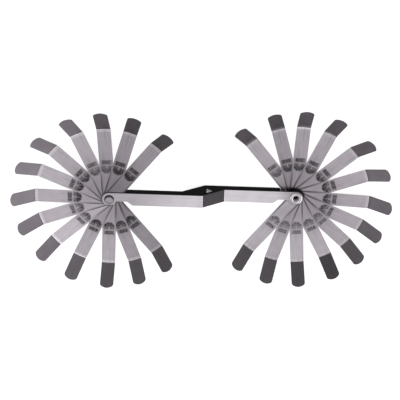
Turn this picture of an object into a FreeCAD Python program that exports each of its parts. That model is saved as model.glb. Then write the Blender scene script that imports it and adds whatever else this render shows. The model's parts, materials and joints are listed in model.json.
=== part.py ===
"""Offset feeler gauge: a stepped channel case, two hollow rivets and two fans of bent-tip blades."""

import FreeCAD, Part
import math
import os

os.makedirs("parts", exist_ok=True)

V = FreeCAD.Vector

# Blades
INCH = 25.4
BLADE_WIDTH = INCH / 2
BEND_ANGLE = 36.5
BEND_START = 67.2
SMALLEST_BEND_RADIUS = 1.5
TIP_REACH = 88.0
TIP_SAGITTA = 2.1
LEAF_GAP = 0.06
LEFT_SIZES = (0.0015, 0.003, 0.005, 0.007, 0.009, 0.011, 0.013,
              0.015, 0.017, 0.019, 0.021, 0.023, 0.025)
RIGHT_SIZES = (0.002, 0.0025, 0.004, 0.006, 0.008, 0.010, 0.012,
               0.014, 0.016, 0.018, 0.020, 0.022, 0.024)
LEFT_ANGLES = (50.6, 72.9, 93.1, 114.2, 136.9, 157.1, 179.1,
               199.8, 221.3, 244.3, 267.8, 289.1, 309.2)
RIGHT_ANGLES = (129.6, 107.0, 87.5, 66.4, 42.2, 20.0, -2.7,
                -23.4, -42.5, -62.0, -85.0, -106.4, -127.6)

# Rivets
SHANK_RADIUS = 3.6
RIVET_WALL = 1.0
LIP_WIDTH = 0.9
LIP_FLARE = 0.7
LIP_THICKNESS = 0.45
COLLAR_WIDTH = 2.3
COLLAR_BORE_STEP = 0.4
COLLAR_HEIGHT = 1.3
COLLAR_CHAMFER = 0.5

# Case
PIVOT_HALF_SPACING = 86.0
SHEET = 0.9
STACK_SIDE_GAP = 0.134
WEB_GAP = 0.6
WEB_BEND_OUTER = 1.3
FOLD_RADIUS = 1.5
OPEN_EDGE_INSET = 0.95
EAR_RIM = 0.15
WEB_END_GAP = 0.33
NECK_CUT = 4.8
NOTCH_LEAD = 1.2
NOTCH_LENGTH = 4.9
NOTCH_ROUND = 1.2
STEP_GAP_AT_BEND = 0.9
STEP_GAP_AT_TIP = 1.3
WINDOW_LEAD = 3.5
WINDOW_WIDTH = 6.4
WINDOW_HEIGHT = 12.0
WINDOW_RIM = 1.7
WINDOW_ROUND = 0.5

# Running clearances
EAR_CLEARANCE = 0.05
BLADE_CLEARANCE = 0.08
LIP_CLEARANCE = 0.1

MARGIN = 4.0
SLOPE = math.radians(BEND_ANGLE)


def stack_height(sizes):
    """Height of one stack of leaves with the gaps between them."""
    return sum(sizes) * INCH + LEAF_GAP * (len(sizes) - 1)


EAR_HOLE_RADIUS = SHANK_RADIUS + EAR_CLEARANCE
BLADE_HOLE_RADIUS = SHANK_RADIUS + BLADE_CLEARANCE
BORE_RADIUS = SHANK_RADIUS - RIVET_WALL
LIP_RADIUS = SHANK_RADIUS + LIP_WIDTH
LIP_BORE_RADIUS = BORE_RADIUS + LIP_FLARE
LIP_SEAT_RADIUS = LIP_RADIUS + LIP_CLEARANCE
COLLAR_RADIUS = SHANK_RADIUS + COLLAR_WIDTH
COLLAR_BORE_RADIUS = BORE_RADIUS + COLLAR_BORE_STEP

CHANNEL_HEIGHT = (max(stack_height(LEFT_SIZES), stack_height(RIGHT_SIZES))
                  + 2 * STACK_SIDE_GAP + 2 * SHEET)
WEB_INNER_Y = BLADE_WIDTH / 2 + WEB_GAP
WEB_OUTER_Y = WEB_INNER_Y + SHEET
OPEN_EDGE_Y = -BLADE_WIDTH / 2 + OPEN_EDGE_INSET
EAR_RADIUS = BLADE_WIDTH / 2 + EAR_RIM
NECK_EDGE_Y = NECK_CUT - EAR_RADIUS
FIRST_LEAF = math.radians(min(LEFT_ANGLES[0], 180 - RIGHT_ANGLES[0]))
WEB_END_TO_PIVOT = ((BLADE_WIDTH / 2 + WEB_END_GAP + WEB_OUTER_Y * math.cos(FIRST_LEAF))
                    / math.sin(FIRST_LEAF))
NOTCH_START = WEB_END_TO_PIVOT + NOTCH_LEAD
NOTCH_END = NOTCH_START + NOTCH_LENGTH
STEP_HIGH_X = PIVOT_HALF_SPACING - TIP_REACH + STEP_GAP_AT_TIP
STEP_LOW_X = PIVOT_HALF_SPACING - BEND_START + STEP_GAP_AT_BEND
STEP_HEIGHT = (STEP_LOW_X - STEP_HIGH_X) * math.tan(SLOPE)
CHANNEL_MID = STEP_HEIGHT / 2
CASE_END = PIVOT_HALF_SPACING + EAR_RADIUS


def rounded_path(points, radii):
    """Edges of an open path whose inner corners are arcs; points are vectors, one radius a corner."""
    edges = []
    start = points[0]
    for before, corner, after, radius in zip(points, points[1:], points[2:], radii):
        back = (before - corner).normalize()
        ahead = (after - corner).normalize()
        half = back.getAngle(ahead) / 2
        reach = radius / math.tan(half)
        enter = corner + back * reach
        leave = corner + ahead * reach
        bisector = (back + ahead).normalize()
        middle = corner + bisector * (radius / math.sin(half) - radius)
        edges.append(Part.makeLine(start, enter))
        edges.append(Part.Arc(enter, middle, leave).toShape())
        start = leave
    edges.append(Part.makeLine(start, points[-1]))
    return edges


def top_line(end, inset, tight, wide):
    """Upper side line of the stepped case, left to right, moved inwards by inset."""
    shift = inset * math.tan(SLOPE / 2)
    high = CHANNEL_MID + CHANNEL_HEIGHT / 2 - inset
    low = -CHANNEL_MID + CHANNEL_HEIGHT / 2 - inset
    points = [V(-end, 0, high), V(STEP_HIGH_X - shift, 0, high),
              V(STEP_LOW_X - shift, 0, low), V(end, 0, low)]
    return points, rounded_path(points, (wide, tight))


def half_turn(shape):
    """Copy of a shape turned half a turn about the Y axis."""
    turned = shape.copy()
    turned.rotate(V(0, 0, 0), V(0, 1, 0), 180)
    return turned


def side_face(end, inset, tight, wide):
    """Side view of the case as a face in the XZ plane."""
    points, upper = top_line(end, inset, tight, wide)
    lower = [half_turn(edge) for edge in upper]
    first, last = points[0], points[-1]
    edges = upper + [Part.makeLine(last, V(-first.x, 0, -first.z))]
    edges += lower + [Part.makeLine(V(-last.x, 0, -last.z), first)]
    return Part.Face(Part.Wire(Part.__sortEdges__(edges)))


def channel_block(end, inset, open_y, web_y, tight, wide):
    """Prism of the side view from the open side to the web."""
    block = side_face(end, inset, tight, wide)
    block.translate(V(0, open_y, 0))
    return block.extrude(V(0, web_y - open_y, 0))


def web_edges(block):
    """Long edges of the case block where its flanges turn into the web."""
    return [edge for edge in block.Edges
            if edge.BoundBox.YMin > WEB_OUTER_Y - SHEET / 2 and edge.BoundBox.XLength > SHEET / 2]


def plan_half():
    """Right half of the plan outline of the flanges, without the round ear."""
    pivot = PIVOT_HALF_SPACING
    corners = [V(0, OPEN_EDGE_Y, 0), V(pivot - NOTCH_END, OPEN_EDGE_Y, 0),
               V(pivot - NOTCH_START, NECK_EDGE_Y, 0), V(pivot, NECK_EDGE_Y, 0)]
    edges = rounded_path(corners, (NOTCH_ROUND, NOTCH_ROUND))
    rest = [V(pivot, NECK_EDGE_Y, 0), V(pivot, EAR_RADIUS, 0),
            V(pivot - WEB_END_TO_PIVOT, EAR_RADIUS, 0),
            V(pivot - WEB_END_TO_PIVOT, WEB_OUTER_Y + MARGIN, 0),
            V(0, WEB_OUTER_Y + MARGIN, 0), V(0, OPEN_EDGE_Y, 0)]
    edges += Part.makePolygon(rest).Edges
    return Part.Face(Part.Wire(Part.__sortEdges__(edges)))


def plan_block():
    """Block that trims both flanges to their plan outline with round ears."""
    low = -CHANNEL_MID - CHANNEL_HEIGHT
    height = 2 * (CHANNEL_MID + CHANNEL_HEIGHT)
    right = plan_half()
    right.translate(V(0, 0, low))
    right = right.extrude(V(0, 0, height))
    ear = Part.makeCylinder(EAR_RADIUS, height, V(PIVOT_HALF_SPACING, 0, low))
    right = right.fuse(ear)
    return right.fuse(half_turn(right)).removeSplitter()


def window_block():
    """Prism of the small three-cornered relief in the web, under the slanted near flange."""
    left = STEP_HIGH_X + WINDOW_LEAD
    edge = CHANNEL_MID + CHANNEL_HEIGHT / 2 - WINDOW_LEAD * math.tan(SLOPE)
    top = edge - WINDOW_RIM
    side = top - WINDOW_WIDTH * math.tan(SLOPE)
    corners = [V(left, 0, top - WINDOW_HEIGHT), V(left + WINDOW_WIDTH, 0, side), V(left, 0, top)]
    start = (corners[-1] + corners[0]) * 0.5
    path = [start] + corners + [start]
    face = Part.Face(Part.Wire(rounded_path(path, (WINDOW_ROUND,) * len(corners))))
    face.translate(V(0, WEB_INNER_Y - SHEET, 0))
    return face.extrude(V(0, SHEET * 3, 0))


def make_case():
    """Pressed sheet case: two offset channels joined by a slanted step, ears with rivet holes."""
    wide = FOLD_RADIUS + SHEET
    outer = channel_block(CASE_END + MARGIN, 0.0, OPEN_EDGE_Y, WEB_OUTER_Y, FOLD_RADIUS, wide)
    outer = outer.makeFillet(WEB_BEND_OUTER, web_edges(outer))
    inner = channel_block(CASE_END + 2 * MARGIN, SHEET, OPEN_EDGE_Y - MARGIN, WEB_INNER_Y,
                          wide, FOLD_RADIUS)
    case = outer.cut(inner).common(plan_block())
    drop = V(0, 0, -CHANNEL_MID - CHANNEL_HEIGHT)
    hole = Part.makeCylinder(EAR_HOLE_RADIUS, 3 * CHANNEL_HEIGHT + STEP_HEIGHT,
                             V(PIVOT_HALF_SPACING, 0, 0) + drop * 2)
    seat_floor = -CHANNEL_MID - CHANNEL_HEIGHT / 2 + LIP_THICKNESS
    seat = Part.makeCylinder(LIP_SEAT_RADIUS, MARGIN, V(PIVOT_HALF_SPACING, 0, seat_floor - MARGIN))
    cutter = hole.fuse(seat)
    case = case.cut(cutter).cut(half_turn(cutter)).cut(window_block())
    return case.removeSplitter()


def make_rivet():
    """Hollow rivet of the right fan: flush lip under the far ear, raised collar on the near ear."""
    low = -CHANNEL_MID - CHANNEL_HEIGHT / 2
    high = -CHANNEL_MID + CHANNEL_HEIGHT / 2
    top = high + COLLAR_HEIGHT
    points = [V(LIP_BORE_RADIUS, 0, low), V(LIP_RADIUS, 0, low),
              V(LIP_RADIUS, 0, low + LIP_THICKNESS), V(SHANK_RADIUS, 0, low + LIP_THICKNESS),
              V(SHANK_RADIUS, 0, high), V(COLLAR_RADIUS, 0, high),
              V(COLLAR_RADIUS, 0, top - COLLAR_CHAMFER), V(COLLAR_RADIUS - COLLAR_CHAMFER, 0, top),
              V(COLLAR_BORE_RADIUS, 0, top), V(COLLAR_BORE_RADIUS, 0, high),
              V(BORE_RADIUS, 0, high), V(BORE_RADIUS, 0, low + LIP_FLARE)]
    face = Part.Face(Part.makePolygon(points + points[:1]))
    rivet = face.revolve(V(0, 0, 0), V(0, 0, 1), 360)
    rivet.translate(V(PIVOT_HALF_SPACING, 0, 0))
    return rivet


def blade_plan():
    """Plan outline of one blade along +X from its pivot, as a face."""
    half = BLADE_WIDTH / 2
    side_x = TIP_REACH - TIP_SAGITTA
    butt = Part.Arc(V(0, half, 0), V(-half, 0, 0), V(0, -half, 0)).toShape()
    end = Part.Arc(V(side_x, -half, 0), V(TIP_REACH, 0, 0), V(side_x, half, 0)).toShape()
    lines = [Part.makeLine(V(0, -half, 0), V(side_x, -half, 0)),
             Part.makeLine(V(side_x, half, 0), V(0, half, 0))]
    return Part.Face(Part.Wire([butt, lines[0], end, lines[1]]))


def leaf_profile(depth, thickness, stack_top):
    """Closed wire of one blade in the XZ plane, nested under the leaves above it."""
    radius = SMALLEST_BEND_RADIUS + depth
    centre = V(BEND_START, 0, stack_top + SMALLEST_BEND_RADIUS)
    ahead = V(math.cos(SLOPE), 0, math.sin(SLOPE))
    reach = (TIP_REACH - BEND_START) / math.cos(SLOPE)

    def side(bend):
        """Start, bend and end points of one face of the leaf."""
        flat_z = centre.z - bend
        first = V(0, 0, flat_z)
        enter = V(BEND_START, 0, flat_z)
        middle = centre + V(math.sin(SLOPE / 2), 0, -math.cos(SLOPE / 2)) * bend
        leave = centre + V(math.sin(SLOPE), 0, -math.cos(SLOPE)) * bend
        return first, enter, middle, leave, leave + ahead * reach

    upper = side(radius)
    lower = side(radius + thickness)
    edges = [Part.makeLine(upper[0], upper[1]),
             Part.Arc(upper[1], upper[2], upper[3]).toShape(),
             Part.makeLine(upper[3], upper[4]),
             Part.makeLine(upper[4], lower[4]),
             Part.makeLine(lower[4], lower[3]),
             Part.Arc(lower[3], lower[2], lower[1]).toShape(),
             Part.makeLine(lower[1], lower[0]),
             Part.makeLine(lower[0], upper[0])]
    return Part.Wire(edges)


def make_blade(plan, depth, thickness, stack_top):
    """One bent leaf along +X from a pivot at the origin."""
    bowl = Part.Face(leaf_profile(depth, thickness, stack_top))
    bowl.rotate(V(0, 0, 0), V(0, 0, 1), 180)
    bowl = bowl.revolve(V(0, 0, 0), V(0, 0, 1), 360)
    outline = plan.copy()
    outline.translate(V(0, 0, stack_top - CHANNEL_HEIGHT))
    block = outline.extrude(V(0, 0, 2 * CHANNEL_HEIGHT + STEP_HEIGHT))
    hole = Part.makeCylinder(BLADE_HOLE_RADIUS, 2 * CHANNEL_HEIGHT,
                             V(0, 0, stack_top - CHANNEL_HEIGHT))
    return bowl.common(block).cut(hole)


def make_fan(sizes, pivot_x, mid_z, angles, first_on_top):
    """All blades of one fan, keyed by number, turned to their rest angles."""
    plan = blade_plan()
    leaves = [size * INCH for size in sizes]
    stack_top = mid_z + stack_height(sizes) / 2
    order = list(range(len(leaves)))
    if not first_on_top:
        order.reverse()
    depth = 0.0
    fan = {}
    for index in order:
        blade = make_blade(plan, depth, leaves[index], stack_top)
        blade.rotate(V(0, 0, 0), V(0, 0, 1), angles[index])
        blade.translate(V(pivot_x, 0, 0))
        fan[index + 1] = blade
        depth += leaves[index] + LEAF_GAP
    return fan


def base_centre(shapes):
    """Middle of the underside of the box around all shapes."""
    box = Part.makeCompound(shapes).optimalBoundingBox(False, False)
    return V((box.XMin + box.XMax) / 2, (box.YMin + box.YMax) / 2, box.ZMin)


def main():
    """Write one file a node."""
    right_rivet = make_rivet()
    nodes = {"case": make_case(), "rivet_right": right_rivet, "rivet_left": half_turn(right_rivet)}
    left = make_fan(LEFT_SIZES, -PIVOT_HALF_SPACING, CHANNEL_MID, LEFT_ANGLES, True)
    right = make_fan(RIGHT_SIZES, PIVOT_HALF_SPACING, -CHANNEL_MID, RIGHT_ANGLES, False)
    nodes.update({"blade_left_%02d" % number: blade for number, blade in left.items()})
    nodes.update({"blade_right_%02d" % number: blade for number, blade in right.items()})
    origin = base_centre(list(nodes.values()))
    for name, shape in nodes.items():
        shape.translate(-origin)
        shape.exportStep("parts/%s.step" % name)


main()
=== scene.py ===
"""Offset feeler gauge: a stepped channel case with a fan of bent-tip leaves riveted at each end.

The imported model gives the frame. The case keeps its solid and gets its finish; the leaves and the
semi-tubular rivets are built again as smooth surfaces, and each leaf carries its size in an arch
and a row of etched figures.
"""

import json
import logging
import math
from dataclasses import dataclass, field
from enum import Enum
from typing import Optional, Sequence

import bmesh
import bpy
import numpy as np
from mathutils import Matrix, Vector


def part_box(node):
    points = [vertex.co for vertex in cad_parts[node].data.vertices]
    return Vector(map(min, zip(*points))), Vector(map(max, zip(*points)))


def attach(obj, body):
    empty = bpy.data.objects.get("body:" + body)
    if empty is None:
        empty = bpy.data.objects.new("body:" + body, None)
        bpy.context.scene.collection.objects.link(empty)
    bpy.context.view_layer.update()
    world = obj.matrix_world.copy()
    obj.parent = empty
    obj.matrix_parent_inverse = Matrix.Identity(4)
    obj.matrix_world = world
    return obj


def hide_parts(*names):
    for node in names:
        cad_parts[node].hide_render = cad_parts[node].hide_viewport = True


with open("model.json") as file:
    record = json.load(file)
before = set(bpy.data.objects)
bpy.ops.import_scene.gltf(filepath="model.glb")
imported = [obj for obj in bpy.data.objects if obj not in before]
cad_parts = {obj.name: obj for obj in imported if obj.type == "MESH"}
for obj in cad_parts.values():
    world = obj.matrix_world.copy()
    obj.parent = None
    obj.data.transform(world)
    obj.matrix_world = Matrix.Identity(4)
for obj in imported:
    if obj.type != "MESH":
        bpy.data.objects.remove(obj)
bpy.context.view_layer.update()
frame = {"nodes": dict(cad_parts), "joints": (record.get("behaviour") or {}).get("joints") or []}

MM = 0.001
INCH_MM = 25.4
# Millimetres in one unit of a leaf's UV maps
UV_MM = 100.0
# Points nearer than this are one point
WELD_MM = 0.001
CASE_BODY = "case_with_rivets"
LOG = logging.getLogger("feeler_gauge")


class End(Enum):
    """The two ends of the gauge, named as they lie in the front view."""

    LEFT = "left"
    RIGHT = "right"


def linear(hex_colour: str) -> tuple[float, float, float, float]:
    """Turn an sRGB hex colour into linear RGBA.

    Args:
        hex_colour: Six hex digits with a leading hash.

    Returns:
        Linear red, green, blue and an alpha of one.
    """
    parts = [int(hex_colour[i:i + 2], 16) / 255 for i in (1, 3, 5)]
    bent = [c / 12.92 if c <= 0.04045 else ((c + 0.055) / 1.055) ** 2.4 for c in parts]
    return (bent[0], bent[1], bent[2], 1.0)


def new_material(name: str) -> tuple[bpy.types.Material, bpy.types.NodeTree]:
    """Make a material with an empty node tree.

    Args:
        name: The material's name.

    Returns:
        The material and its node tree.
    """
    material = bpy.data.materials.new(name)
    material.use_nodes = True
    material.node_tree.nodes.clear()
    return material, material.node_tree


def add_node(tree: bpy.types.NodeTree, kind: str, inputs: Optional[dict] = None,
             **settings: object) -> bpy.types.Node:
    """Add one node with its settings and feed its sockets.

    Args:
        tree: The node tree that gets the node.
        kind: The node's type name without the leading ShaderNode.
        inputs: Socket name or index to a number, a hex colour or the output socket that feeds it.
        settings: Attributes set on the node itself.

    Returns:
        The new node.
    """
    node = tree.nodes.new("ShaderNode" + kind)
    for name, value in settings.items():
        setattr(node, name, value)
    for socket, value in (inputs or {}).items():
        if isinstance(value, bpy.types.NodeSocket):
            tree.links.new(value, node.inputs[socket])
        else:
            node.inputs[socket].default_value = linear(value) if isinstance(value, str) else value
    return node


@dataclass(frozen=True)
class SteelFinish:
    """Values that every steel finish here shares.

    Steel keeps the default IOR and is fully metallic, so its colour is its reflection.
    """

    name: str
    colour: str
    roughness: float
    roughness_spread: tuple[float, float] = (-0.04, 0.06)
    streak_width_mm: float = 0.9
    streak_length_mm: float = 26.0
    streak_contrast: float = 0.17
    streak_bump: float = 0.05
    bump_depth_mm: float = 0.02
    cloud_size_mm: float = 14.0
    cloud_contrast: float = 0.08
    edge_tint: float = 0.5
    brushing: float = 0.0
    wall_lean: tuple[float, float] = (0.6, 0.25)

    def start(self) -> tuple[bpy.types.Material, bpy.types.NodeTree, bpy.types.Node]:
        """Make the material with its shader and output.

        Returns:
            The material, its node tree and its Principled shader.
        """
        material, tree = new_material(self.name)
        edge = (self.edge_tint, self.edge_tint, self.edge_tint, 1.0)
        shader = add_node(tree, "BsdfPrincipled",
                          {"Metallic": 1.0, "Specular Tint": edge, "Anisotropic": self.brushing,
                           "Anisotropic Rotation": 0.25 if self.brushing else 0.0})
        add_node(tree, "OutputMaterial", {"Surface": shader.outputs["BSDF"]})
        return material, tree, shader

    def layered(self, tree: bpy.types.NodeTree, colour: object,
                *layers: tuple[bpy.types.NodeSocket, object]) -> bpy.types.NodeSocket:
        """Lay colours over one another, each as far as its mask lets it through.

        Args:
            tree: The material's node tree.
            colour: Hex colour or output socket of the ground.
            layers: Pairs of a mask and the hex colour or output socket that it lets through.

        Returns:
            The last colour's socket.
        """
        for mask, layer in layers:
            mix = add_node(tree, "Mix", {0: mask, 6: colour, 7: layer}, data_type="RGBA")
            colour = mix.outputs[2]
        return colour

    def zone(self, tree: bpy.types.NodeTree, source: bpy.types.NodeSocket, low: float,
             high: float) -> bpy.types.NodeSocket:
        """Mask with a soft edge: it rises smoothly from zero at low to one at high.

        Args:
            tree: The material's node tree.
            source: Value that is compared.
            low: Value where the rise starts; it may lie above high for a fall.
            high: Value where the rise ends.

        Returns:
            The mask's socket.
        """
        rising = float(low < high)
        edge = {0: source, 1: min(low, high), 2: max(low, high), 3: 1.0 - rising, 4: rising}
        return add_node(tree, "MapRange", edge, interpolation_type="SMOOTHSTEP").outputs[0]

    def wall(self, tree: bpy.types.NodeTree) -> bpy.types.NodeSocket:
        """Mask of the upright walls, zero on faces that look up or down.

        Args:
            tree: The material's node tree.

        Returns:
            The mask's socket.
        """
        normal = add_node(tree, "TexCoord").outputs["Normal"]
        lean = add_node(tree, "SeparateXYZ", {0: normal}).outputs[2]
        flatness = add_node(tree, "Math", {0: lean}, operation="ABSOLUTE").outputs[0]
        return self.zone(tree, flatness, *self.wall_lean)

    def overlap(self, tree: bpy.types.NodeTree, *masks: bpy.types.NodeSocket
                ) -> bpy.types.NodeSocket:
        """Multiply masks, so that what is left lies in all of them.

        Args:
            tree: The material's node tree.
            masks: The masks' sockets.

        Returns:
            The product's socket.
        """
        out = masks[0]
        for mask in masks[1:]:
            out = add_node(tree, "Math", {0: out, 1: mask}, operation="MULTIPLY").outputs[0]
        return out

    def streaks(self, tree: bpy.types.NodeTree, vector: bpy.types.NodeSocket,
                unit_mm: float) -> bpy.types.NodeSocket:
        """Noise drawn out along the first axis, as a grinding belt leaves it.

        The real grain is a few hundredths of a millimetre and too fine to show, so it is drawn
        as coarse as streak_width_mm.

        Args:
            tree: The material's node tree.
            vector: Coordinates whose first axis runs along the grain.
            unit_mm: Millimetres in one unit of those coordinates.

        Returns:
            The noise value's socket, about one half on average.
        """
        along = unit_mm / self.streak_length_mm
        across = unit_mm / self.streak_width_mm
        mapping = add_node(tree, "Mapping", {"Vector": vector, "Scale": (along, across, across)})
        noise = add_node(tree, "TexNoise", {"Vector": mapping.outputs[0], "Scale": 1.0,
                                            "Detail": 3.0, "Roughness": 0.6})
        return noise.outputs[0]

    def clouds(self, tree: bpy.types.NodeTree, vector: bpy.types.NodeSocket,
               unit_mm: float) -> bpy.types.NodeSocket:
        """Soft uneven patches from handling and oil, cloud_size_mm across.

        Args:
            tree: The material's node tree.
            vector: Coordinates of the pattern.
            unit_mm: Millimetres in one unit of those coordinates.

        Returns:
            The noise value's socket, about one half on average.
        """
        noise = add_node(tree, "TexNoise", {"Vector": vector, "Detail": 2.0,
                                            "Scale": unit_mm / self.cloud_size_mm})
        return noise.outputs[0]

    def toned(self, tree: bpy.types.NodeTree, colour: bpy.types.NodeSocket,
              streak: bpy.types.NodeSocket, cloud: Optional[bpy.types.NodeSocket] = None
              ) -> bpy.types.NodeSocket:
        """Lighten and darken a colour about itself by the streaks and then the clouds.

        Args:
            tree: The material's node tree.
            colour: The colour's socket.
            streak: The streak noise.
            cloud: The cloud noise, if the finish has it.

        Returns:
            The toned colour's socket.
        """
        for noise, contrast in ((streak, self.streak_contrast), (cloud, self.cloud_contrast)):
            if noise is None:
                continue
            gain = add_node(tree, "MapRange", {0: noise, 1: 0.25, 2: 0.75, 3: 1.0 - contrast,
                                               4: 1.0 + contrast}).outputs[0]
            colour = add_node(tree, "VectorMath", {0: colour, "Scale": gain},
                              operation="SCALE").outputs[0]
        return colour

    def surface(self, tree: bpy.types.NodeTree, shader: bpy.types.Node,
                streak: bpy.types.NodeSocket, matt: Optional[bpy.types.NodeSocket] = None,
                matting: float = 0.0) -> None:
        """Let the streaks vary the roughness and raise a slight bump.

        Args:
            tree: The material's node tree.
            shader: Its Principled shader.
            streak: The streak noise.
            matt: Mask of the part that is duller than the rest, if any.
            matting: Roughness added there.
        """
        smoothest, roughest = (self.roughness + change for change in self.roughness_spread)
        rough = add_node(tree, "MapRange", {0: streak, 1: 0.3, 2: 0.7, 3: smoothest,
                                            4: roughest}).outputs[0]
        if matt is not None:
            rough = add_node(tree, "Math", {0: matt, 1: matting, 2: rough},
                             operation="MULTIPLY_ADD").outputs[0]
        tree.links.new(rough, shader.inputs["Roughness"])
        bump = add_node(tree, "Bump", {"Height": streak, "Strength": self.streak_bump,
                                       "Distance": self.bump_depth_mm * MM})
        tree.links.new(bump.outputs[0], shader.inputs["Normal"])


@dataclass(frozen=True)
class LeafSteel(SteelFinish):
    """Hardened and ground spring steel of the leaves.

    To the eye: a cool satin grey with fine lines along the leaf, a painted highlight on the bend, a
    painted shade on the offset tip, painted shade along the edges near the rivet and round the
    rivet on one side, and a grey halo round the etched figures. Sizes along the leaf count from the
    rivet's axis.
    """

    # Painted shade: the bent tip is drawn darker than the flat, as if turned from the light
    tip_shade_colour: str = "#565256"
    tip_matting: float = 0.16
    tip_edge_mm: tuple[float, float] = (-0.25, 0.35)
    # Painted highlight: a lighter band across the bend, where the curved steel catches the light
    bend_highlight_colour: str = "#aea9ae"
    bend_from_mm: float = 65.9
    bend_to_mm: float = 68.4
    bend_soft_mm: tuple[float, float] = (0.5, 0.3)
    root_colour: str = "#8c868c"
    root_from_mm: float = 12.0
    root_to_mm: float = 50.0
    # Painted shade: dark lines along both edges of the leaf's top, fading out away from the rivet
    edge_colour: str = "#454145"
    edge_shade_mm: float = 2.4
    edge_shade_fade_mm: float = 36.0
    sheared_colour: str = "#585558"
    half_width_mm: float = 6.35
    # Painted shadow: a dark ring on the leaves round the rivet, strongest on one side
    hub_shadow_colour: str = "#484548"
    hub_shadow_from_mm: float = 9.0
    hub_shadow_to_mm: float = 7.0
    hub_shadow_side_mm: float = -2.5
    hub_shadow_least: float = 0.15
    stain_colour: str = "#211f21"
    stain_arch_mm: tuple[float, float, float] = (30.6, 0.4, 5.2)
    stain_arms_to_mm: float = 33.2
    stain_row_mm: tuple[float, float, float] = (34.2, 38.4, 4.9)
    stain_edge_mm: float = 0.8
    stain_patch_mm: float = 1.7
    stain_mottle: tuple[float, float] = (0.66, 1.1)
    stain_pale_mm: tuple[float, float] = (28.0, 33.0)
    stain_pale: float = 0.72
    stain_rubbed: float = 0.1

    def stain(self, tree: bpy.types.NodeTree) -> bpy.types.NodeSocket:
        """Grey halo that the etching current left round the figures.

        It is a U about the arch's middle, by the distance from a short line along the leaf, and
        a bar under the row, both fading over stain_edge_mm and paler on a worn leaf.

        Args:
            tree: The material's node tree.

        Returns:
            The halo's strength.
        """
        soft = self.stain_edge_mm / UV_MM
        plan = add_node(tree, "UVMap", uv_map="plan").outputs[0]
        axes = add_node(tree, "SeparateXYZ", {0: plan}).outputs
        middle, inner, outer = (value / UV_MM for value in self.stain_arch_mm)
        behind = add_node(tree, "Math", {0: axes[0], 1: middle}, operation="SUBTRACT").outputs[0]
        behind = add_node(tree, "Math", {0: behind, 1: 0.0}, operation="MINIMUM").outputs[0]
        offset = add_node(tree, "CombineXYZ", {0: behind, 1: axes[1]}).outputs[0]
        gap = add_node(tree, "VectorMath", {0: offset}, operation="LENGTH").outputs["Value"]
        arms = self.stain_arms_to_mm / UV_MM
        arch = self.overlap(tree, self.zone(tree, gap, inner - soft, inner + soft),
                            self.zone(tree, gap, outer + soft, outer - soft),
                            self.zone(tree, axes[0], arms + soft, arms - soft))
        near, far, half = (value / UV_MM for value in self.stain_row_mm)
        side = add_node(tree, "Math", {0: axes[1]}, operation="ABSOLUTE").outputs[0]
        row = self.overlap(tree, self.zone(tree, axes[0], near - soft, near + soft),
                           self.zone(tree, axes[0], far + soft, far - soft),
                           self.zone(tree, side, half + soft, half - soft))
        both = add_node(tree, "Math", {0: arch, 1: row}, operation="MAXIMUM").outputs[0]
        wear = add_node(tree, "Attribute", attribute_name="wear").outputs["Fac"]
        kept = add_node(tree, "MapRange", {0: wear, 3: 1.0, 4: self.stain_rubbed}).outputs[0]
        spread = add_node(tree, "UVMap", uv_map="leaf").outputs[0]
        patches = add_node(tree, "TexNoise", {"Vector": spread, "Detail": 2.0,
                                              "Scale": UV_MM / self.stain_patch_mm}).outputs[0]
        mottled = add_node(tree, "MapRange", {0: patches, 1: 0.35, 2: 0.65,
                                              3: self.stain_mottle[0], 4: self.stain_mottle[1]})
        start, end = (value / UV_MM for value in self.stain_pale_mm)
        paler = add_node(tree, "MapRange", {0: axes[0], 1: start, 2: end, 3: 1.0,
                                            4: self.stain_pale}).outputs[0]
        return self.overlap(tree, both, kept, mottled.outputs[0], paler)

    def hub_shadow(self, tree: bpy.types.NodeTree) -> bpy.types.NodeSocket:
        """Mask of the painted shadow round the rivet, strong on one side of the case only.

        Args:
            tree: The material's node tree.

        Returns:
            The mask's socket.
        """
        radius = add_node(tree, "Attribute", attribute_name="radius_mm").outputs["Fac"]
        place = add_node(tree, "TexCoord").outputs["Object"]
        height = add_node(tree, "SeparateXYZ", {0: place}).outputs[1]
        side_on = self.zone(tree, height, -self.hub_shadow_side_mm * MM, self.hub_shadow_side_mm * MM)
        side_on = add_node(tree, "MapRange", {0: side_on, 3: self.hub_shadow_least, 4: 1.0}).outputs[0]
        return self.overlap(tree, self.zone(tree, radius, self.hub_shadow_from_mm, self.hub_shadow_to_mm),
                            side_on)

    def build(self) -> bpy.types.Material:
        """Build the material on the leaf's own UV map, UV_MM to the unit.

        Returns:
            The material.
        """
        material, tree, shader = self.start()
        uv = add_node(tree, "UVMap", uv_map="leaf").outputs[0]
        along = add_node(tree, "SeparateXYZ", {0: uv}).outputs[0]
        side = add_node(tree, "Attribute", attribute_name="side_mm").outputs["Fac"]
        grain = add_node(tree, "Tangent", direction_type="UV_MAP", uv_map="leaf")
        tree.links.new(grain.outputs[0], shader.inputs["Tangent"])
        streak = self.streaks(tree, uv, UV_MM)
        cloud = self.clouds(tree, uv, UV_MM)
        root_end = self.root_from_mm / UV_MM
        root = self.zone(tree, along, self.root_to_mm / UV_MM, root_end)
        # Painted shade along the leaf's edges near the rivet, where neighbouring leaves shade one
        # another
        line = self.overlap(
            tree, self.zone(tree, side, self.half_width_mm - self.edge_shade_mm, self.half_width_mm),
            self.zone(tree, along, self.edge_shade_fade_mm / UV_MM, root_end))
        # The tip zone carries the tip's painted shade and its duller roughness
        tip = self.zone(tree, along, *((self.bend_to_mm + edge) / UV_MM for edge in self.tip_edge_mm))
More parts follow.
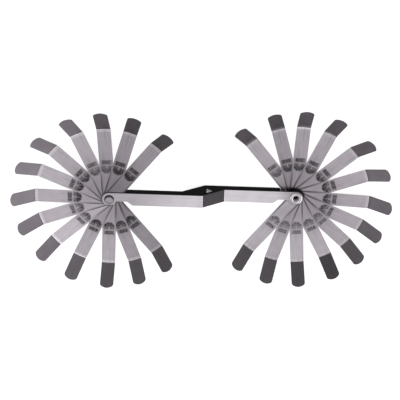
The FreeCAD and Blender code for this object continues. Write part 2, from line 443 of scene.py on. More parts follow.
        # The band across the bend carries the painted highlight
        before, after = self.bend_soft_mm
        bend = self.overlap(
            tree, self.zone(tree, along, (self.bend_from_mm - before) / UV_MM,
                            self.bend_from_mm / UV_MM),
            self.zone(tree, along, (self.bend_to_mm + after) / UV_MM, self.bend_to_mm / UV_MM))
        colour = self.layered(tree, self.colour, (root, self.root_colour), (line, self.edge_colour),
                              (self.hub_shadow(tree), self.hub_shadow_colour),
                              (self.stain(tree), self.stain_colour), (tip, self.tip_shade_colour),
                              (bend, self.bend_highlight_colour))
        colour = self.toned(tree, colour, streak, cloud)
        # Painted light: each leaf's flat and tip are made lighter or darker by a factor of their own
        tone = add_node(tree, "Attribute", attribute_name="tone").outputs["Fac"]
        colour = add_node(tree, "VectorMath", {0: colour, "Scale": tone},
                          operation="SCALE").outputs[0]
        colour = self.layered(tree, colour, (self.wall(tree), self.sheared_colour))
        tree.links.new(colour, shader.inputs["Base Color"])
        self.surface(tree, shader, streak, tip, self.tip_matting)
        return material


@dataclass(frozen=True)
class CaseSteel(SteelFinish):
    """Cold-rolled sheet of the case, satin on the flanges.

    To the eye: pale and nearly even on the two flat flanges, with roll lines along the case; the
    back of the web and the walls turned to its side carry a near-black painted shade, and the
    slanted step a dark painted shade.
    """

    # Painted shade: the back of the web and every upright wall turned to its side are near black
    web_shade_colour: str = "#161517"
    web_from_mm: float = 6.3
    web_soft_mm: float = 0.3
    # Painted shade: the slanted step is drawn dark
    step_shade_colour: str = "#2b292b"
    step_lean: tuple[float, float] = (0.35, 0.5)
    step_flatness: tuple[float, float] = (0.5, 0.65)
    ear_colour: str = "#9b969b"
    left_ear_mm: tuple[float, float] = (12.0, 78.0)
    right_ear_mm: tuple[float, float] = (66.0, 82.0)
    edge_colour: str = "#8d898d"
    edge_lean: tuple[float, float] = (-0.3, 0.1)

    def build(self) -> bpy.types.Material:
        """Build the material on Object coordinates, with the step found by its normal.

        Returns:
            The material.
        """
        material, tree, shader = self.start()
        unit_mm = 1.0 / MM
        source = add_node(tree, "TexCoord")
        spot, normal = source.outputs["Object"], source.outputs["Normal"]
        streak = self.streaks(tree, spot, unit_mm)
        cloud = self.clouds(tree, spot, unit_mm)
        place = add_node(tree, "SeparateXYZ", {0: spot}).outputs
        ears = [self.zone(tree, place[0], start * MM, end * MM)
                for start, end in (tuple(-mm for mm in self.left_ear_mm), self.right_ear_mm)]
        ear = add_node(tree, "Math", {0: ears[0], 1: ears[1]}, operation="ADD").outputs[0]
        lean = add_node(tree, "SeparateXYZ", {0: normal}).outputs
        # The slanted step, found by its normal, gets its painted shade
        slant = self.overlap(tree, *(
            self.zone(tree, add_node(tree, "Math", {0: lean[axis]},
                                     operation="ABSOLUTE").outputs[0], *limits)
            for axis, limits in ((0, self.step_lean), (2, self.step_flatness))))
        colour = self.layered(tree, self.colour, (ear, self.ear_colour), (slant, self.step_shade_colour))
        colour = self.toned(tree, colour, streak, cloud)
        # Upright walls turned to the web's side get its painted shade, the other walls a grey edge
        turned = self.zone(tree, lean[1], *self.edge_lean)
        side = self.layered(tree, self.edge_colour, (turned, self.web_shade_colour))
        web = self.zone(tree, place[1], self.web_from_mm * MM,
                        (self.web_from_mm + self.web_soft_mm) * MM)
        colour = self.layered(tree, colour, (self.wall(tree), side), (web, self.web_shade_colour))
        tree.links.new(colour, shader.inputs["Base Color"])
        self.surface(tree, shader, streak)
        return material


@dataclass(frozen=True)
class RivetNickel(SteelFinish):
    """Nickel-plated semi-tubular rivet, rolled at its open end.

    To the eye: bright rolled metal with faint turning rings, and a pale matt bore that the
    plating hardly reached, darkened with depth by painted shade, and a painted shade crescent on
    the head's web side.
    """

    bore_colour: str = "#dedade"
    bore_metal: float = 0.15
    # Colour of the painted shade deep in the bore and in the crescent on the head
    painted_shade_colour: str = "#121112"
    unit_mm: float = 10.0

    def build(self) -> bpy.types.Material:
        """Build the material on the rivet's own UV map, along its profile.

        Returns:
            The material.
        """
        material, tree, shader = self.start()
        uv = add_node(tree, "UVMap", uv_map="rivet").outputs[0]
        rings = self.streaks(tree, uv, self.unit_mm)
        # One attribute marks the bore, the other where painted shade lies
        inside, dark = (add_node(tree, "Attribute", attribute_name=name).outputs["Fac"]
                        for name in ("inside", "tarnish"))
        colour = self.layered(tree, self.colour, (inside, self.bore_colour),
                              (dark, self.painted_shade_colour))
        tree.links.new(self.toned(tree, colour, rings), shader.inputs["Base Color"])
        metal = add_node(tree, "MapRange", {0: inside, 3: 1.0, 4: self.bore_metal})
        tree.links.new(metal.outputs[0], shader.inputs["Metallic"])
        self.surface(tree, shader, rings)
        return material


@dataclass(frozen=True)
class EtchMark:
    """Electro-etched size figures: a matt dark oxide bitten into the steel.

    To the eye: dull near-black strokes, paler where a leaf's figures are rubbed thin.
    """

    name: str
    colour: str = "#060506"
    worn_colour: str = "#625e62"
    roughness: float = 0.6
    metallic: float = 0.4
    patch_mm: float = 0.9
    patch_wear: float = 0.12

    def build(self) -> bpy.types.Material:
        """Build the material with patches where the oxide is rubbed thin.

        Returns:
            The material.
        """
        material, tree = new_material(self.name)
        spot = add_node(tree, "TexCoord").outputs["Object"]
        noise = add_node(tree, "TexNoise", {"Vector": spot, "Detail": 2.0,
                                            "Scale": 1.0 / (self.patch_mm * MM)}).outputs[0]
        patch = add_node(tree, "MapRange", {0: noise, 1: 0.45, 2: 0.75, 4: self.patch_wear})
        wear = add_node(tree, "Attribute", attribute_name="wear").outputs["Fac"]
        worn = add_node(tree, "Math", {0: patch.outputs[0], 1: wear}, operation="ADD",
                        use_clamp=True)
        mix = add_node(tree, "Mix", {0: worn.outputs[0], 6: self.colour, 7: self.worn_colour},
                       data_type="RGBA")
        shader = add_node(tree, "BsdfPrincipled",
                          {"Base Color": mix.outputs[2], "Metallic": self.metallic,
                           "Roughness": self.roughness})
        add_node(tree, "OutputMaterial", {"Surface": shader.outputs["BSDF"]})
        return material


def mesh_object(name: str, points: np.ndarray, faces: Sequence[np.ndarray],
                material: bpy.types.Material, smooth_angle: float) -> bpy.types.Object:
    """Put arrays of points and faces into a new closed piece at the origin.

    Points that meet are joined, and every face is pointed outwards.

    Args:
        name: Object name.
        points: N by 3 array in metres.
        faces: Arrays of quads, each M by 4.
        material: Material of the whole piece.
        smooth_angle: Edges sharper than this many degrees stay sharp.

    Returns:
        The linked object.
    """
    mesh = bpy.data.meshes.new(name)
    mesh.from_pydata(points.tolist(), [], np.concatenate(faces).tolist())
    mesh.materials.append(material)
    mesh.validate()
    work = bmesh.new()
    work.from_mesh(mesh)
    bmesh.ops.remove_doubles(work, verts=work.verts, dist=WELD_MM * MM)
    bmesh.ops.recalc_face_normals(work, faces=work.faces)
    work.to_mesh(mesh)
    work.free()
    mesh.shade_smooth()
    mesh.set_sharp_from_angle(angle=math.radians(smooth_angle))
    obj = bpy.data.objects.new(name, mesh)
    bpy.context.scene.collection.objects.link(obj)
    return obj


def read_points(mesh: bpy.types.Mesh) -> np.ndarray:
    """Read the places of a mesh's points.

    Args:
        mesh: The mesh.

    Returns:
        N by 3 array in metres.
    """
    spots = np.empty(len(mesh.vertices) * 3)
    mesh.vertices.foreach_get("co", spots)
    return spots.reshape(-1, 3)


def store(mesh: bpy.types.Mesh, values: dict[str, np.ndarray], maps: dict[str, np.ndarray]
          ) -> None:
    """Write what the materials read from a mesh.

    Args:
        mesh: The mesh that gets it.
        values: Attribute name to one number a point.
        maps: UV map name to one pair of numbers a point.
    """
    corners = np.empty(len(mesh.loops), int)
    mesh.loops.foreach_get("vertex_index", corners)
    for name, pairs in maps.items():
        mesh.uv_layers.new(name=name).data.foreach_set("uv", pairs[corners].ravel())
    for name, numbers in values.items():
        mesh.attributes.new(name, "FLOAT", "POINT").data.foreach_set("value", numbers)


def grid_quads(rows: int, columns: int, start: int = 0, closed: bool = False) -> np.ndarray:
    """Quads of a grid of points stored row by row.

    Args:
        rows: Number of rows of points.
        columns: Number of points in a row.
        start: Index of the first point.
        closed: Whether the last column joins the first.

    Returns:
        M by 4 array of point indices.
    """
    row = np.arange(rows - 1)[:, None]
    column = np.arange(columns if closed else columns - 1)[None, :]
    after = (column + 1) % columns
    corners = [row * columns + column, row * columns + after,
               (row + 1) * columns + after, (row + 1) * columns + column]
    return np.stack([c.ravel() for c in corners], 1) + start


@dataclass(frozen=True)
class LeafGrade:
    """What differs from leaf to leaf: its thickness, the painted light that lightens or darkens its
    flat and its tip, and how worn its marks are.
    """

    inches: float
    flat_painted_light: float = 1.0
    tip_painted_light: float = 1.0
    wear: float = 0.2


@dataclass
class Leaf:
    """One bent-tip leaf, built as a surface of revolution about its rivet.

    Sizes are in millimetres. The leaf is flat out to bend_start, then its height follows an arc of
    bend_radius and after it a straight cone at bend_angle, all as functions of the distance from
    the rivet's axis, so that leaves of one stack pass each other.
    """

    name: str
    number: int
    grade: LeafGrade
    pivot: Vector
    heading: float
    flat_bottom: float
    bend_radius: float
    width: float = 12.7
    hole_radius: float = 3.68
    bend_start: float = 67.2
    bend_angle: float = 36.5
    reach: float = 88.0
    bow: float = 2.1
    corner: float = 1.2
    corner_flatness: float = 0.8
    root_reach: float = 13.0
    bend_margin: float = 1.5
    end_margin: float = 4.5
    rows: int = 13
    flat_steps: int = 9
    bend_steps: int = 8
    tip_steps: int = 5
    end_steps: int = 4
    butt_steps: int = 29
    ring_share: float = 0.45
    sharp_angle: float = 40.0
    grain_shift: float = 0.013
    tip_painted_light_after: float = 0.5
    marking_lift: float = 0.012
    row_size: float = 4.7
    row_letters: int = 4
    row_at: float = 38.0
    arch_size: float = 3.3
    arch_at: float = 30.6
    arch_radius: float = 2.8
    arch_step: float = 38.0
    point_width: float = 0.4
    stroke_gain: float = 0.13
    letter_steps: int = 3

    @property
    def thickness(self) -> float:
        """Thickness in millimetres."""
        return self.grade.inches * INCH_MM

    def rise(self, radius: np.ndarray, bend: float) -> np.ndarray:
        """Height of one face above its flat part.

        Zero to the bend, then the arc height bend - sqrt(bend^2 - run^2), then a straight slope.

        Args:
            radius: Distances from the rivet's axis.
            bend: Radius of the arc on that face.

        Returns:
            Heights, the same shape as radius.
        """
        angle = math.radians(self.bend_angle)
        run = radius - self.bend_start
        arc = bend - np.sqrt(np.maximum(bend ** 2 - np.clip(run, 0, bend * math.sin(angle)) ** 2, 0))
        past = np.maximum(run - bend * math.sin(angle), 0)
        return arc + past * math.tan(angle)

    def end_line(self, across: np.ndarray) -> np.ndarray:
        """Bowed end of the tip, less a quarter round at each corner, flattened a little.

        Args:
            across: Places across the leaf.

        Returns:
            Distances along the leaf, the same shape as across.
        """
        half = self.width / 2
        inside = np.clip((np.abs(across) - (half - self.corner)) / self.corner, 0, 1)
        rounding = self.corner * (1 - np.sqrt(1 - inside ** 2))
        return self.reach - self.bow * (across / half) ** 2 - rounding * self.corner_flatness

    def outline(self) -> tuple[np.ndarray, np.ndarray]:
        """Plan positions of the strip's grid and of the root's ring.

        Strip columns lie on circles about the rivet and turn into the bowed end over the last
        steps. The ring runs from the hole to the strip's first column, the sides and the butt.

        Returns:
            Strip grid, columns by rows by 2, and ring grid, 3 by points by 2.
        """
        half = self.width / 2
        across = half * np.sin(np.linspace(-math.pi / 2, math.pi / 2, self.rows))
        turn = self.bend_radius * math.sin(math.radians(self.bend_angle))
        bend_end, margin = self.bend_start + turn, self.bend_margin
        radii = np.concatenate([
            np.linspace(self.root_reach, self.bend_start - margin, self.flat_steps),
            np.linspace(self.bend_start, bend_end, self.bend_steps),
            np.linspace(bend_end + margin, self.reach - self.end_margin, self.tip_steps)])
        strip = np.sqrt(radii[:, None] ** 2 - across[None, :] ** 2)
        share = np.linspace(0, 1, self.end_steps + 1)[1:, None]
        last = strip[-1][None, :]
        strip = np.concatenate([strip, last * (1 - share) + self.end_line(across) * share])
        strip = np.stack([strip, np.broadcast_to(across, strip.shape)], 2)
        side = np.linspace(strip[0, -1, 0], 0, self.end_steps + 1)[1:]
        edge = np.full(self.end_steps, half)
        sweep = np.linspace(math.pi / 2, 3 * math.pi / 2, self.butt_steps)[1:-1]
        rim = np.concatenate([strip[0], np.stack([side, edge], 1),
                              np.stack([np.cos(sweep), np.sin(sweep)], 1) * half,
                              np.stack([side[::-1], -edge], 1)])
        hole = rim / np.linalg.norm(rim, axis=1, keepdims=True) * self.hole_radius
        between = hole * self.ring_share + rim * (1 - self.ring_share)
        return strip, np.stack([hole, between, rim])

    @property
    def turn(self) -> np.ndarray:
        """Matrix that turns places along and across the leaf to its heading."""
        cosine, sine = math.cos(self.heading), math.sin(self.heading)
        return np.array([[cosine, -sine], [sine, cosine]])

    def placed(self, plan: np.ndarray, height: np.ndarray) -> np.ndarray:
        """Turn plan positions and heights into points in the object's frame.

        Args:
            plan: Places along and across the leaf, N by 2.
            height: Heights above the leaf's underside.

        Returns:
            N by 3 array in metres.
        """
        spot = plan @ self.turn.T * MM + np.array(self.pivot[:2])
        return np.concatenate([spot, (self.flat_bottom + height * MM)[:, None]], 1)

    def build(self, material: bpy.types.Material) -> bpy.types.Object:
        """Build the closed leaf with its UV map and set it on its body.

        Args:
            material: The leaf steel.

        Returns:
            The leaf's object.
        """
        strip, ring = self.outline()
        plan = np.concatenate([strip.reshape(-1, 2), ring.reshape(-1, 2)])
        radius = np.linalg.norm(plan, axis=1)
        under = self.rise(radius, self.bend_radius + self.thickness)
        over = self.rise(radius, self.bend_radius) + self.thickness
        points = np.concatenate([self.placed(plan, over), self.placed(plan, under)])
        count, columns, rows = len(plan), *strip.shape[:2]
        rim = ring.shape[1]
        top = np.concatenate([grid_quads(columns, rows),
                              grid_quads(3, rim, columns * rows, closed=True)[:, ::-1]])
        faces = [top[:, ::-1], top + count]
        index = np.arange(columns * rows).reshape(columns, rows)
        around = [index[:, 0], index[-1, 1:], index[::-1, -1][1:]]
        rim_last = columns * rows + 2 * rim + np.arange(rim)
        edge = np.concatenate(around + [rim_last[rows:]])
        hole = columns * rows + np.arange(rim)[::-1]
        for loop in (edge, hole):
            after = np.roll(loop, -1)
            faces.append(np.stack([loop, loop + count, after + count, after], 1)[:, ::-1])
        obj = mesh_object(self.name + "_leaf", points, faces, material, self.sharp_angle)
        self.unwrap(obj.data)
        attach(obj, self.name)
        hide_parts(self.name)
        return obj

    def unwrap(self, mesh: bpy.types.Mesh) -> None:
        """Store the leaf's UV maps and what differs from point to point.

        The map leaf holds the developed distance from the rivet and the place across, shifted
        for each leaf so that no two share their streaks. The map plan holds both in plan.

        Args:
            mesh: The leaf's mesh.
        """
        plan = (read_points(mesh)[:, :2] - np.array(self.pivot[:2])) / MM @ self.turn
        radius = np.linalg.norm(plan, axis=1)
        along = radius * np.sign(plan[:, 0] + 1e-9)
        past = np.maximum(along - self.bend_start, 0)
        along = along + past * (1 / math.cos(math.radians(self.bend_angle)) - 1)
        across = plan[:, 1] / UV_MM + self.grain_shift * self.number
        # Past the bend the tip takes its own painted light factor
        on_tip = radius > self.bend_start + self.tip_painted_light_after
        store(mesh, {"side_mm": np.where(plan[:, 0] > 0, np.abs(plan[:, 1]), radius),
                     "radius_mm": radius,
                     "tone": np.where(on_tip, self.grade.tip_painted_light, self.grade.flat_painted_light),
                     "wear": np.full(len(plan), self.grade.wear)},
              {"leaf": np.stack([along / UV_MM, across], 1), "plan": plan / UV_MM})

    def glyphs(self, words: str, size: float) -> bpy.types.Mesh:
        """Flat mesh of a few figures in millimetres, centred on their baseline.

        Args:
            words: The figures.
            size: Type size.

        Returns:
            The mesh, with its figures bold by stroke_gain.
        """
        curve = bpy.data.curves.new(self.name + "_words", "FONT")
        curve.body = words
        curve.size = size
        curve.align_x = "CENTER"
        curve.offset = self.stroke_gain
        curve.resolution_u = self.letter_steps
        writer = bpy.data.objects.new(curve.name, curve)
        bpy.context.scene.collection.objects.link(writer)
        bpy.context.view_layer.update()
        flat = bpy.data.meshes.new_from_object(writer)
        bpy.data.objects.remove(writer)
        return flat

    def inscribe(self, material: bpy.types.Material) -> bpy.types.Object:
        """Etch the size: millimetres in an arch near the rivet, inches in a row beyond it.

        Args:
            material: The etched mark's material.

        Returns:
            The marking's object.
        """
        mils = self.grade.inches * 1000
        digits = 3 if abs(mils - round(mils)) < 0.01 else 4
        inch_words = ("%.*f" % (digits, self.grade.inches)).lstrip("0")
        lift = self.flat_bottom / MM + self.thickness + self.marking_lift
        place = (Matrix.Translation((self.pivot.x, self.pivot.y, lift * MM))
                 @ Matrix.Rotation(self.heading, 4, "Z") @ Matrix.Scale(MM, 4))
        quarter = Matrix.Rotation(math.radians(90), 4, "Z")
        narrow = min(1.0, self.row_letters / len(inch_words))
        parts = [(inch_words, self.row_size * narrow,
                  Matrix.Translation((self.row_at, 0, 0)) @ quarter)]
        arched = "%.3f" % self.thickness
        widths = np.array([self.point_width if letter == "." else 1.0 for letter in arched])
        places = np.cumsum(widths) - widths / 2 - widths.sum() / 2
        for letter, spot in zip(arched, places.tolist()):
            turn = Matrix.Rotation(-math.radians(spot * self.arch_step), 4, "Z")
            parts.append((letter, self.arch_size, Matrix.Translation((self.arch_at, 0, 0)) @ turn
                          @ Matrix.Translation((-self.arch_radius, 0, 0)) @ quarter))
        work = bmesh.new()
        for words, size, local in parts:
            flat = self.glyphs(words, size)
            flat.transform(place @ local)
            work.from_mesh(flat)
            bpy.data.meshes.remove(flat)
        mesh = bpy.data.meshes.new(self.name + "_size_mark")
        work.to_mesh(mesh)
        work.free()
        mesh.materials.append(material)
        store(mesh, {"wear": np.full(len(mesh.vertices), self.grade.wear)}, {})
        obj = bpy.data.objects.new(mesh.name, mesh)
        bpy.context.scene.collection.objects.link(obj)
        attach(obj, self.name)
        return obj


@dataclass
class Fan:
    """The thirteen leaves on one rivet."""

    end: End
    steel: bpy.types.Material
    etch: bpy.types.Material
    grades: tuple[LeafGrade, ...] = ()
    smallest_bend: float = 1.5
    leaves: list[Leaf] = field(default_factory=list)

    def heading(self, name: str, pivot: Vector) -> float:
        """Direction of a leaf at rest, from the area-weighted middle of its solid.

        Args:
            name: The leaf's node.
            pivot: Its hinge's place in metres.

        Returns:
            The angle from the first axis, in radians.
        """
        mesh = frame["nodes"][name].data
        mesh.calc_loop_triangles()
        spots = read_points(mesh)
        corners = np.empty(len(mesh.loop_triangles) * 3, int)
        mesh.loop_triangles.foreach_get("vertices", corners)
        a, b, c = (spots[corners[i::3]] for i in range(3))
        area = np.linalg.norm(np.cross(b - a, c - a), axis=1)
        middle = ((a + b + c) / 3 * area[:, None]).sum(0) / area.sum()
        return math.atan2(middle[1] - pivot.y, middle[0] - pivot.x)

    def build(self) -> list[bpy.types.Object]:
        """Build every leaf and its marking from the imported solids' places.

        A leaf's bend radius is the smallest one plus its depth under the top of the stack, so
        the leaves lie in one another at the bend.

        Returns:
            The new objects.
        """
        pivots = {j["child"]: Vector(j["pos_m"]) for j in frame["joints"]}
        for number, grade in enumerate(self.grades, 1):
            name = "blade_%s_%02d" % (self.end.value, number)
            self.leaves.append(Leaf(name, number, grade, pivots[name],
                                    self.heading(name, pivots[name]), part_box(name)[0].z, 0.0))
        stack_top = max(leaf.flat_bottom / MM + leaf.thickness for leaf in self.leaves)
        made = []
        for leaf in self.leaves:
            depth = stack_top - leaf.flat_bottom / MM - leaf.thickness
            leaf.bend_radius = self.smallest_bend + depth
            made += [leaf.build(self.steel), leaf.inscribe(self.etch)]
            LOG.info("%s and its figures, %.3f mm thick", leaf.name, leaf.thickness)
        return made


@dataclass
class TubeRivet:
    """One semi-tubular rivet: a low closed head, a shank and a raised rolled collar.

    Sizes are in millimetres. up is 1 where the collar is on top and -1 where it is below.
    """

    name: str
    up: int
    material: bpy.types.Material
    shank: float = 3.6
    bore: float = 2.6
    lip: float = 4.5
    lip_thickness: float = 0.45
    head_drop: float = 0.35
    head_depth: float = 1.6
    # Painted shade crescent on the head, on the web's side
    crescent_shade_from: tuple[float, float] = (3.5, 4.8)
    crescent_shade_offset: float = 2.2
    collar: float = 5.9
    collar_height: float = 1.3
    squareness: float = 2.6
    # Depths where the bore's painted shade starts and where it is full
    bright_mm: float = 3.4
    dark_mm: float = 6.6
    segments: int = 96
    crown_points: int = 17
    head_points: int = 13
    bore_points: int = 16
    sharp_angle: float = 50.0
    near: float = 0.02

    def crown(self, seat: float) -> np.ndarray:
        """Rolled collar from its rim over to the bore, half a superellipse.

        Radius is the ring's middle plus half its width times cos t to the power 2/n, and height
        is the collar's height times sin t to the same power, with n the squareness.

        Args:
            seat: Height of the collar's underside.

        Returns:
            N by 2 array of radius and height.
        """
        middle, half = (self.collar + self.bore) / 2, (self.collar - self.bore) / 2
        t = np.linspace(0, math.pi, self.crown_points)
        power = 2 / self.squareness
        radius = middle + half * np.sign(np.cos(t)) * np.abs(np.cos(t)) ** power
        return np.stack([radius, seat + self.collar_height * np.abs(np.sin(t)) ** power], 1)

    def profile(self, length: float) -> np.ndarray:
        """Profile from the head's middle over the collar to the bore's floor.

        The head falls by head_drop times the cube of the share of its radius.

        Args:
            length: The rivet's whole length.

        Returns:
            N by 2 array of radius and height over the head's top.
        """
        seat = length - self.collar_height
        share = np.linspace(0, 1, self.head_points)
        head = np.stack([self.lip * share, self.head_drop * share ** 3], 1)
        neck = [(self.lip, self.lip_thickness), (self.shank, self.lip_thickness),
                (self.shank, seat)]
        down = np.linspace(seat, self.head_depth, self.bore_points)[1:]
        bore = np.stack([np.full(len(down), self.bore), down], 1)
        floor = [(self.bore / 2, self.head_depth), (0.0, self.head_depth)]
        return np.concatenate([head, neck, self.crown(seat), bore, floor])

    def build(self) -> bpy.types.Object:
        """Revolve the profile about the rivet's axis and set it on the case's body.

        A point lies at the radius times the cosine and sine of the sweep, at its own height.

        Returns:
            The rivet's object.
        """
        low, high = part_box(self.name)
        centre = (low + high) / 2
        length = (high.z - low.z) / MM
        profile = self.profile(length)
        sweep = np.linspace(0, 2 * math.pi, self.segments, endpoint=False)
        radius, height = profile[:, 0][:, None], profile[:, 1][:, None]
        base = low.z / MM if self.up > 0 else high.z / MM
        points = np.stack([centre.x / MM + radius * np.cos(sweep),
                           centre.y / MM + radius * np.sin(sweep),
                           base + self.up * height + 0 * sweep], 2).reshape(-1, 3) * MM
        quads = grid_quads(len(profile), self.segments, closed=True)
        obj = mesh_object(self.name + "_tube", points, [quads], self.material, self.sharp_angle)
        self.tag(obj.data, centre, base)
        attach(obj, CASE_BODY)
        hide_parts(self.name)
        LOG.info("rivet %s, %.1f mm long", self.name, length)
        return obj

    def tag(self, mesh: bpy.types.Mesh, centre: Vector, base: float) -> None:
        """Store the rivet's UV map and mark its bore and where its painted shade lies.

        The bore gets painted shade that darkens with depth. On the head a painted shade crescent lies
        on the web's side, by the distance from a point set off the middle away from the web.

        Args:
            mesh: The rivet's mesh.
            centre: The rivet's middle in metres.
            base: Height of the head's top in millimetres.
        """
        spots = read_points(mesh) / MM
        spots[:, :2] -= np.array(centre[:2]) / MM
        radius = np.hypot(spots[:, 0], spots[:, 1])
        from_head = self.up * (spots[:, 2] - base)
        depth = from_head.max() - from_head
        bore = (radius < self.bore + self.near) * (from_head > self.head_depth - self.near)
        # Painted shade in the bore, darker with depth
        fall = np.clip((depth - self.bright_mm) / (self.dark_mm - self.bright_mm), 0, 1)
        # Painted shade crescent on the head's web side
        gap = np.hypot(spots[:, 0], spots[:, 1] + self.crescent_shade_offset)
        crescent_shade = np.clip((gap - self.crescent_shade_from[0]) / (self.crescent_shade_from[1] - self.crescent_shade_from[0]), 0, 1)
        dark = np.maximum(bore * fall, crescent_shade * (from_head < self.head_drop + self.near))
        along = (radius + spots[:, 2]) / RivetNickel.unit_mm
        store(mesh, {"tarnish": dark, "inside": bore * 1.0},
              {"rivet": np.stack([0 * radius, along], 1)})


@dataclass
class Case:
    """The pressed channel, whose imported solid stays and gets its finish."""

    node: str = "case"

    def dress(self, steel: bpy.types.Material) -> None:
        """Put the sheet steel on the solid.

        Args:
            steel: The case's material.
        """
        solid = frame["nodes"][self.node]
        solid.data.materials.clear()
        solid.data.materials.append(steel)
        LOG.info("%s dressed", self.node)


@dataclass(frozen=True)
class Softbox:
    """One square area lamp, in metres and watts, that faces the object's middle."""

    name: str
    spot: tuple[float, float, float]
    size: float
    power: float

    def build(self) -> None:
        """Hang the lamp."""
        data = bpy.data.lights.new(self.name, "AREA")
        data.size = self.size
        data.energy = self.power
        lamp = bpy.data.objects.new(self.name, data)
        lamp.location = self.spot
        lamp.rotation_euler = Vector(self.spot).to_track_quat("Z", "Y").to_euler()
        bpy.context.scene.collection.objects.link(lamp)


@dataclass
class Studio:
    """White floor, soft lamps and the camera that took the front view."""

    elevation: float = 64.995
    azimuth: float = 1.522
    roll: float = 3.227
    distance: float = 804.3
    focal_px: float = 868.6
    image_px: int = 400
    centre_px: tuple[float, float] = (3.3, -2.6)
    sensor: float = 36.0
    near_clip: float = 0.01
    floor_glow: float = 0.85
    floor_half: float = 4.0
    floor_gap_mm: float = 0.02
    world_light: float = 0.6
    lamps: tuple[Softbox, ...] = (Softbox("overhead_softbox", (-0.2, 0.0, 1.2), 0.5, 2.0),
                                  Softbox("left_softbox", (-1.0, -0.4, 0.28), 0.8, 4.5),
                                  Softbox("right_softbox", (1.0, -0.5, 0.3), 1.4, 17.0))

    def camera(self) -> None:
        """Aim the camera at the middle between the rivets, from the side of the web.

        Its axis rises by the elevation and turns by the azimuth from the web's side, the
        picture is rolled about that axis, and the shift moves its middle by centre_px.
        """
        pivots = {tuple(j["pos_m"][:2]) for j in frame["joints"]}
        low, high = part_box("case")
        middle = np.mean(sorted(pivots), 0)
        target = Vector((middle[0], middle[1], (low.z + high.z) / 2))
        rise, turn, roll = (math.radians(a) for a in (self.elevation, self.azimuth, self.roll))
        away = Vector((math.sin(turn) * math.cos(rise), math.cos(turn) * math.cos(rise),
                       math.sin(rise)))
        up = Vector((0, 0, -1)) + away * away.z
        up.normalize()
        right = up.cross(away)
        right_rolled = right * math.cos(roll) + up * math.sin(roll)
        up_rolled = up * math.cos(roll) - right * math.sin(roll)
        data = bpy.data.cameras.new("front_view")
        data.sensor_width = self.sensor
        data.lens = self.sensor * self.focal_px / self.image_px
        data.shift_x = -self.centre_px[0] / self.image_px
        data.shift_y = self.centre_px[1] / self.image_px
        data.clip_start = self.near_clip
        camera = bpy.data.objects.new("front_view", data)
        camera.matrix_world = (Matrix.Translation(target + away * self.distance * MM)
                               @ Matrix((right_rolled, up_rolled, away)).transposed().to_4x4())
        bpy.context.scene.collection.objects.link(camera)
        bpy.context.scene.camera = camera

    def seen(self, tree: bpy.types.NodeTree) -> bpy.types.NodeSocket:
        """One for camera, glossy and transmission rays, zero for the light on the object.

        Args:
            tree: The node tree of the floor or the world.

        Returns:
            The mask's socket.
        """
        path = add_node(tree, "LightPath")
        out = path.outputs["Is Camera Ray"]
        for ray in ("Is Glossy Ray", "Is Transmission Ray"):
            out = add_node(tree, "Math", {0: out, 1: path.outputs[ray]},
                           operation="MAXIMUM").outputs[0]
        return out

    def floor(self) -> None:
        """Matt white floor under the lower channel that keeps the object's soft shadow."""
        side, height = self.floor_half, -self.floor_gap_mm * MM
        mesh = bpy.data.meshes.new("floor")
        mesh.from_pydata([(-side, -side, height), (side, -side, height), (side, side, height),
                          (-side, side, height)], [], [(0, 1, 2, 3)])
        material, tree = new_material("matt_white_paper")
        matt = add_node(tree, "BsdfDiffuse", {"Color": "#969696"})
        strength = add_node(tree, "Math", {0: self.seen(tree), 1: self.floor_glow},
                            operation="MULTIPLY")
        glow = add_node(tree, "Emission", {"Strength": strength.outputs[0]})
        both = add_node(tree, "AddShader", {0: matt.outputs[0], 1: glow.outputs[0]})
        add_node(tree, "OutputMaterial", {"Surface": both.outputs[0]})
        mesh.materials.append(material)
        obj = bpy.data.objects.new("floor", mesh)
        bpy.context.scene.collection.objects.link(obj)

    def world(self) -> None:
        """White surroundings for what is seen, softer for what is lit."""
        world = bpy.data.worlds.new("studio")
        world.use_nodes = True
        tree = world.node_tree
        tree.nodes.clear()
        level = add_node(tree, "MapRange", {0: self.seen(tree), 3: self.world_light, 4: 1.0})
        shade = add_node(tree, "Background", {"Color": "#ffffff", "Strength": level.outputs[0]})
        add_node(tree, "OutputWorld", {"Surface": shade.outputs[0]})
        bpy.context.scene.world = world

    def build(self) -> None:
        """Set the whole studio."""
        self.camera()
        self.floor()
        self.world()
        for lamp in self.lamps:
            lamp.build()
        bpy.context.scene.view_settings.view_transform = "Standard"
        LOG.info("studio with %d lamps", len(self.lamps))


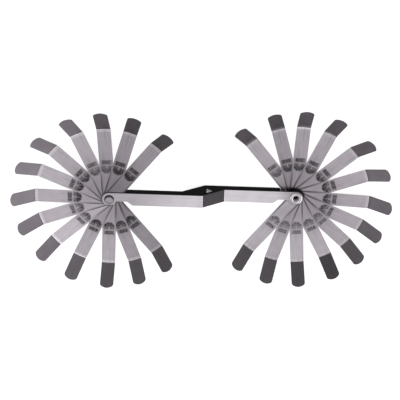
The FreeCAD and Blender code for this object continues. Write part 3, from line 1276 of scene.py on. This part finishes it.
# Per leaf: inches, painted light of the flat and of the tip (lighter or darker as they catch the
# light), wear
LEFT_GRADES = (
    LeafGrade(0.0015, 0.66, 0.95, 0.0), LeafGrade(0.003, 0.68, 1.25, 0.0),
    LeafGrade(0.005, 0.80, 1.6, 0.30), LeafGrade(0.007, 0.92, 1.95, 0.30),
    LeafGrade(0.009, 0.88, 1.45, 0.10), LeafGrade(0.011, 0.94, 1.35, 0.05),
    LeafGrade(0.013, 0.98, 1.3, 0.05), LeafGrade(0.015, 1.2, 1.28, 0.25),
    LeafGrade(0.017, 1.5, 1.42, 0.20), LeafGrade(0.019, 1.1, 1.3, 0.05),
    LeafGrade(0.021, 1.08, 1.08, 0.10), LeafGrade(0.023, 0.9, 1.05, 0.10),
    LeafGrade(0.025, 0.78, 0.75, 0.05))
RIGHT_GRADES = (
    LeafGrade(0.002, 1.08, 0.78, 0.30), LeafGrade(0.0025, 0.80, 1.1, 0.10),
    LeafGrade(0.004, 0.82, 1.6, 0.10), LeafGrade(0.006, 0.75, 1.45, 0.10),
    LeafGrade(0.008, 0.80, 1.15, 0.10), LeafGrade(0.010, 0.98, 1.38, 0.05),
    LeafGrade(0.012, 1.12, 1.2, 0.10), LeafGrade(0.014, 1.14, 1.1, 0.20),
    LeafGrade(0.016, 1.08, 0.9, 0.45), LeafGrade(0.018, 1.08, 0.66, 0.35),
    LeafGrade(0.020, 1.05, 0.85, 0.45), LeafGrade(0.022, 0.92, 0.88, 0.45),
    LeafGrade(0.024, 1.05, 0.7, 0.35))


def main() -> None:
    """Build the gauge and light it."""
    logging.basicConfig(level=logging.INFO)
    Case().dress(CaseSteel("cold_rolled_sheet_steel", "#bcb7bc", 0.34, streak_contrast=0.06,
                           streak_width_mm=1.1, streak_length_mm=40.0).build())
    etch = EtchMark("electro_etched_oxide").build()
    left_steel = LeafSteel("ground_spring_steel", "#9c969c", 0.34, brushing=0.7).build()
    # The right leaves get a darker painted shadow round the rivet, on the web's side
    right_steel = LeafSteel("ground_spring_steel_hub_shadow", "#9c969c", 0.34, brushing=0.7,
                            hub_shadow_colour="#222022", hub_shadow_from_mm=9.4, hub_shadow_to_mm=7.2,
                            hub_shadow_side_mm=2.5, bend_highlight_colour="#a6a1a6").build()
    for fan in (Fan(End.LEFT, left_steel, etch, LEFT_GRADES),
                Fan(End.RIGHT, right_steel, etch, RIGHT_GRADES)):
        LOG.info("%s fan: %d pieces", fan.end.value, len(fan.build()))
    dulled = RivetNickel("dulled_nickel_tube", "#8f8b8f", 0.36, streak_contrast=0.04,
                         streak_width_mm=0.3, painted_shade_colour="#2a282a").build()
    bright = RivetNickel("bright_nickel_tube", "#a9a5a9", 0.3, streak_contrast=0.04,
                         streak_width_mm=0.3).build()
    TubeRivet("rivet_left", -1, dulled).build()
    TubeRivet("rivet_right", 1, bright).build()
    Studio().build()


if __name__ == "__main__":
    main()
